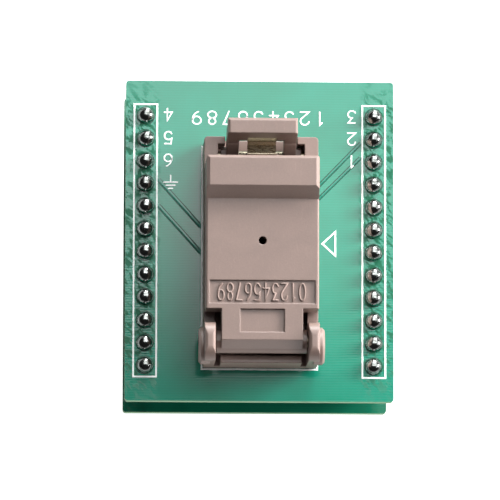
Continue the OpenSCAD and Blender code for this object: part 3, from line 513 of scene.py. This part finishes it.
# Places: the socket's frame as x0, x1, y0, y1, the arrow's corners, each pin number's digit, x
# and y, the ground sign's middle, stem and bars as (y, half length), and the row of digits
SOCKET_FRAME = (-6.4, 6.4, -14.36, 10.5)
ARROW = ((6.98, -0.29), (8.42, 1.05), (8.42, -1.62))
PIN_NUMBERS = (("4", -10.2, 14.09), ("5", -10.2, 11.5), ("6", -10.2, 8.95),
               ("3", 10.25, 14.0), ("2", 10.25, 11.5), ("1", 10.25, 8.95))
PIN_NUMBER_SIZE = (0.86, 1.36)
SIGN_X = -9.9
SIGN_STEM = (7.25, 6.6)
SIGN_BARS = ((6.5, 0.75), (6.15, 0.5), (5.8, 0.22))
ROW_MIDDLE = (-0.15, 13.78)
ROW_SIZE = (0.95, 1.45)
ROW_PITCH = 1.72


def printed_marks():
    """White ink on the upper board: a frame round each pin row and round the socket, an arrow
    at the first pin, pin numbers, a ground sign, and a plain row of digits by the latch. Each
    is the flat profile carried along its path."""
    half = PINS * PITCH / 2
    shells = [frame_line(s * ROW_X - PITCH / 2, s * ROW_X + PITCH / 2, -half, half, LINE, INK,
                         FACE) for s in (-1, 1)]
    shells.append(frame_line(*SOCKET_FRAME, LINE, INK, FACE))
    shells.append(stroke(line(*ARROW), ARROW_LINE, INK, FACE, FLAT, True))
    for digit, x, y in PIN_NUMBERS:
        shells += number(digit, x, y, PIN_NUMBER_SIZE, 1, DIGIT_LINE, INK, FACE)
    for y, reach in SIGN_BARS:
        bar = line((SIGN_X - reach, y), (SIGN_X + reach, y))
        shells.append(stroke(bar, SIGN_LINE, INK, FACE))
    stem = line(*((SIGN_X, y) for y in SIGN_STEM))
    shells.append(stroke(stem, SIGN_LINE, INK, FACE))
    shells += number("123456789", *ROW_MIDDLE, ROW_SIZE, ROW_PITCH, DIGIT_LINE, INK, FACE)
    piece("printed_marks", shells, ink, "root", smooth=False)


printed_marks()


# ---- copper under the mask ---------------------------------------------------------------

# Tracks: both ends and half the width
TRACKS = (((-11.25, 6.80), (-6.54, 1.55), 0.21), ((-11.25, 3.90), (-6.54, -1.35), 0.21),
          ((11.22, 11.02), (6.57, 6.19), 0.16), ((11.22, 9.40), (6.57, 4.74), 0.16))
TRACK_HIGH = 0.01
RIDGE_WIDE, RIDGE_HIGH = 0.1, 0.02
PAD_RIM = 0.98


def track_edges():
    """Both edges of four tracks and the rims of the 24 pads, as shells: low ridges with the
    crown profile, where the film runs thin over the copper's step. Their finish below is a
    much darker green: the thin film, and on the tracks' edges also painted shade."""
    shells = []
    for first, last, half in TRACKS:
        way = line(last) - line(first)
        side = np.array([[-way[0, 1], way[0, 0]]]) / np.linalg.norm(way) * half
        for s in (-1, 1):
            path = np.vstack([line(first) + s * side, line(last) + s * side])
            shells.append(stroke(path, RIDGE_WIDE, RIDGE_HIGH, FACE, CROWN))
    for x in (-ROW_X, ROW_X):
        for y in PIN_Y:
            rim = arc(x, y, PAD_RIM, PAD_RIM, 0, 350, 36)
            shells.append(stroke(rim, RIDGE_WIDE, RIDGE_HIGH, FACE, CROWN, True))
    return shells


def track_tops():
    """The four tracks themselves, as shells: flat bars with bevelled sides, lower than their
    edges."""
    return [stroke(line(first, last), 2 * half, TRACK_HIGH, FACE)
            for first, last, half in TRACKS]


# Ridges in a much darker green than the board: the film running thin over the copper, and on the
# tracks' edges also painted shade where their slopes turn away from the lamps' reflection
edge_mask_and_painted_shade = solder_mask("thin_solder_mask_and_painted_shade", board_low[2], board_high[2], "17493A", "123F31")
track_mask = solder_mask("solder_mask_on_copper", board_low[2], board_high[2], "1C7663",
                         "166A58")
piece("track_edges", track_edges(), edge_mask_and_painted_shade, "root")
piece("track_tops", track_tops(), track_mask, "root")


# ---- solder ------------------------------------------------------------------------------

# How far a joint's foot reaches into the board and its top may lean, and the share of its
# radius that each wave round it adds
DOME_FOOT = 0.02
DOME_LEAN = 0.04
DOME_SWELLS = (0.03, 0.02, 0.012)


def solder_domes(name, x, node, seed):
    """Twelve joints over the header pins. Each is nearly a surface of revolution: radius
    R cos(t) and height H sin(t), as t goes from the foot to the top. R swells by three sines of
    the angle times cos(t), and the top leans sideways by sin(t) times the lean. The phases and
    heights differ from joint to joint, and a short foot goes into the board."""
    low, high = (np.array(corner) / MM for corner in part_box(node))
    radius = (high[0] - low[0]) / 2
    top = high[2] - FACE
    rng = np.random.default_rng(seed)
    t = np.linspace(0, math.pi / 2, 18)[None, :, None]
    angle = np.linspace(0, 2 * math.pi, 40, endpoint=False)[None, None, :]
    phase = rng.uniform(0, 2 * math.pi, (PINS, 1, 1, 3)).transpose(3, 0, 1, 2)
    grow = rng.uniform(0.95, 1.0, (PINS, 1, 1))
    swell = 1 + sum(share * np.sin((i + 1) * angle + phase[i])
                    for i, share in enumerate(DOME_SWELLS)) * np.cos(t)
    r = radius * np.cos(t) * swell
    z = FACE + top * grow * np.sin(t)
    lean = DOME_LEAN * np.sin(phase[1])
    px = x + r * np.cos(angle) + lean * np.sin(t)
    py = PIN_Y[:, None, None] + r * np.sin(angle) + lean * np.cos(phase[0]) * np.sin(t)
    grid = np.stack(np.broadcast_arrays(px, py, z), -1)
    foot = grid[:, :1] + np.array([0, 0, -DOME_FOOT])
    grid = np.concatenate([foot, grid], 1)
    made = piece(name, [(one, False, True) for one in grid], solder, "root")
    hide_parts(node)


solder_domes("header_joints_left", -ROW_X, "pin_solder_left", 3)
solder_domes("header_joints_right", ROW_X, "pin_solder_right", 5)


# ---- pad springs -------------------------------------------------------------------------

# The springs' wire and outer radius in millimetres, and their turns
WIRE = 0.2
COIL_OUTER = 0.55
COIL_TURNS = 3.5


def pad_coils():
    """Four springs over the pad: a round wire carried along the helix (R cos(a), R sin(a), k a)
    through 3.5 turns, each ring square to the wire. They ride with the lid at one length; they
    don't shorten as the pad rises."""
    low, high = (np.array(corner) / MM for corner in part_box("pad_springs"))
    radius = COIL_OUTER - WIRE / 2
    climb = high[2] - low[2] - WIRE
    rise = climb / (2 * math.pi * COIL_TURNS)
    a = np.linspace(0, 2 * math.pi * COIL_TURNS, 120)[:, None]
    ring = np.linspace(0, 2 * math.pi, 12, endpoint=False)[None]
    away = radius + WIRE / 2 * np.cos(ring)
    tilt = WIRE / 2 * np.sin(ring) / math.hypot(radius, rise)
    x = away * np.cos(a) + tilt * rise * np.sin(a)
    y = away * np.sin(a) - tilt * rise * np.cos(a)
    z = low[2] + WIRE / 2 + rise * a + tilt * radius
    coil = np.stack([x, y, z], -1)
    off = high[0] - COIL_OUTER
    middle = (low[1] + high[1]) / 2
    shells = [(coil + np.array([sx * off, middle + sy * off, 0]), False, True)
              for sx in (-1, 1) for sy in (-1, 1)]
    made = piece("pad_coils", shells, steel, "lid")
    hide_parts("pad_springs")
    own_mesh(made)


pad_coils()


# ---- moulded marks -----------------------------------------------------------------------

# Panel digits: the row's middle along x, a digit's width and height, their pitch, and the
# strokes' width and height
PANEL_X = -0.1
PANEL_SIZE = (0.64, 1.85)
PANEL_PITCH = 0.99
PANEL_LINE, PANEL_RAISED = 0.24, 0.14


def panel_digits():
    """A plain row of raised digits in the lid's panel, each stroke a round-topped ridge: the
    crown profile carried along the digit's path."""
    sunken = LID_FACE - PANEL_DEEP
    shells = number("0123456789", PANEL_X, PANEL_Y, PANEL_SIZE, PANEL_PITCH, PANEL_LINE,
                    PANEL_RAISED, sunken, CROWN)
    piece("panel_digits", shells, pei, "lid")


panel_digits()


# ---- floor, lamps and surroundings -------------------------------------------------------

# The table's reach each way in metres, the lines of its grid, and its own light
TABLE_REACH = 3.0
TABLE_LINES = 9
TABLE_GLOW = 0.95
# The lamps' distance in metres, and the height in degrees above which surfaces mirror them
LAMP_AWAY = 0.75
MIRRORED_ABOVE = 15
# Radiance of the horizon and the ceiling, and the rise of a ray's direction where the band at
# the horizon ends and where the ceiling begins
HORIZON, CEILING = 0.8, 0.02
HORIZON_TOP, CEILING_FROM = 0.04, 0.2


def floor():
    """A wide pale table under the pins: a flat grid z = 0, matt white, and glowing evenly as a
    table in a bright room does. Nothing mirrors it."""
    way = np.linspace(-TABLE_REACH, TABLE_REACH, TABLE_LINES) / MM
    x, y = np.meshgrid(way, way)
    mesh = bpy.data.meshes.new("table")
    points = np.stack([x, y, np.zeros_like(x)], -1).reshape(-1, 3) * MM
    index = np.arange(TABLE_LINES ** 2).reshape(TABLE_LINES, TABLE_LINES)
    quads = np.stack([index[:-1, :-1], index[:-1, 1:], index[1:, 1:], index[1:, :-1]], -1)
    mesh.from_pydata(points.tolist(), [], quads.reshape(-1, 4).tolist())
    made, tree, shader, place = start("matt_white_table", Roughness=0.9)
    shader.inputs["Specular IOR Level"].default_value = 0.1
    shader.inputs["Emission Strength"].default_value = TABLE_GLOW
    shader.inputs["Emission Color"].default_value = (1, 1, 1, 1)
    cloud = add(tree, "TexNoise", {"Vector": place, "Scale": 20.0})
    colour = add(tree, "Mix", {0: cloud.outputs["Fac"], 6: linear("BCBCBC"),
                               7: linear("C2C2C2")}, data_type="RGBA")
    tree.links.new(colour.outputs[2], shader.inputs["Base Color"])
    mesh.materials.append(made)
    table = bpy.data.objects.new("table", mesh)
    bpy.context.scene.collection.objects.link(table)
    table.visible_glossy = False


def softbox(name, azimuth, rise, size, light):
    """Adds a rectangular lamp that faces the socket, with the given radiance, and returns it."""
    lamp = bpy.data.lights.new(name, "AREA")
    lamp.shape = "RECTANGLE"
    lamp.size, lamp.size_y = size
    lamp.energy = light * math.pi * size[0] * size[1]
    made = bpy.data.objects.new(name, lamp)
    bpy.context.scene.collection.objects.link(made)
    turn, up = math.radians(azimuth), math.radians(rise)
    way = Vector((math.cos(up) * math.cos(turn), math.cos(up) * math.sin(turn), math.sin(up)))
    made.matrix_world = aim(Vector((0, 0, FACE * MM)) + way * LAMP_AWAY, way)
    return made


def surroundings():
    """A pale band at the horizon under a dim ceiling, by the height of the ray's direction."""
    world = bpy.data.worlds.new("studio")
    bpy.context.scene.world = world
    world.use_nodes = True
    tree = world.node_tree
    tree.nodes.clear()
    way = add(tree, "TexCoord").outputs["Generated"]
    up = add(tree, "SeparateXYZ", {"Vector": way}).outputs["Z"]
    share = add(tree, "MapRange", {"Value": up, "From Min": HORIZON_TOP,
                                   "From Max": CEILING_FROM})
    colour = add(tree, "Mix", {0: share.outputs[0], 6: (HORIZON, HORIZON, HORIZON, 1),
                               7: (CEILING, CEILING, CEILING, 1)}, data_type="RGBA")
    light = add(tree, "Background", {"Color": colour.outputs[2]})
    add(tree, "OutputWorld", {"Surface": light.outputs[0]})


floor()
surroundings()
# Lamps: name, azimuth from +X and height in degrees, width and height in metres, radiance.
# The lowest two light the surfaces, but nothing mirrors them, as if they were wide and far off
for name, azimuth, rise, size, light in (
        ("overhead_softbox", 69.0, 53.2, (0.75, 0.85), 2.3),
        ("overhead_core", 82.0, 74.3, (0.6, 0.23), 1.1),
        ("right_streak_strip", 5.0, 42.0, (0.12, 0.5), 3.2),
        ("right_glint_strip", 8.0, 17.0, (0.14, 0.3), 26.0),
        ("right_low_strip", 22.0, 14.0, (0.4, 0.16), 90.0),
        ("front_low_strip", -40.0, 6.0, (0.4, 0.14), 18.0),
        ("back_strip", 75.0, 20.0, (0.3, 0.2), 36.0)):
    lamp = softbox(name, azimuth, rise, size, light)
    lamp.visible_glossy = rise > MIRRORED_ABOVE

view = bpy.context.scene.view_settings
view.view_transform = "Standard"
view.look = "None"
view.exposure = 0.0
view.gamma = 1.0

bpy.context.view_layer.update()
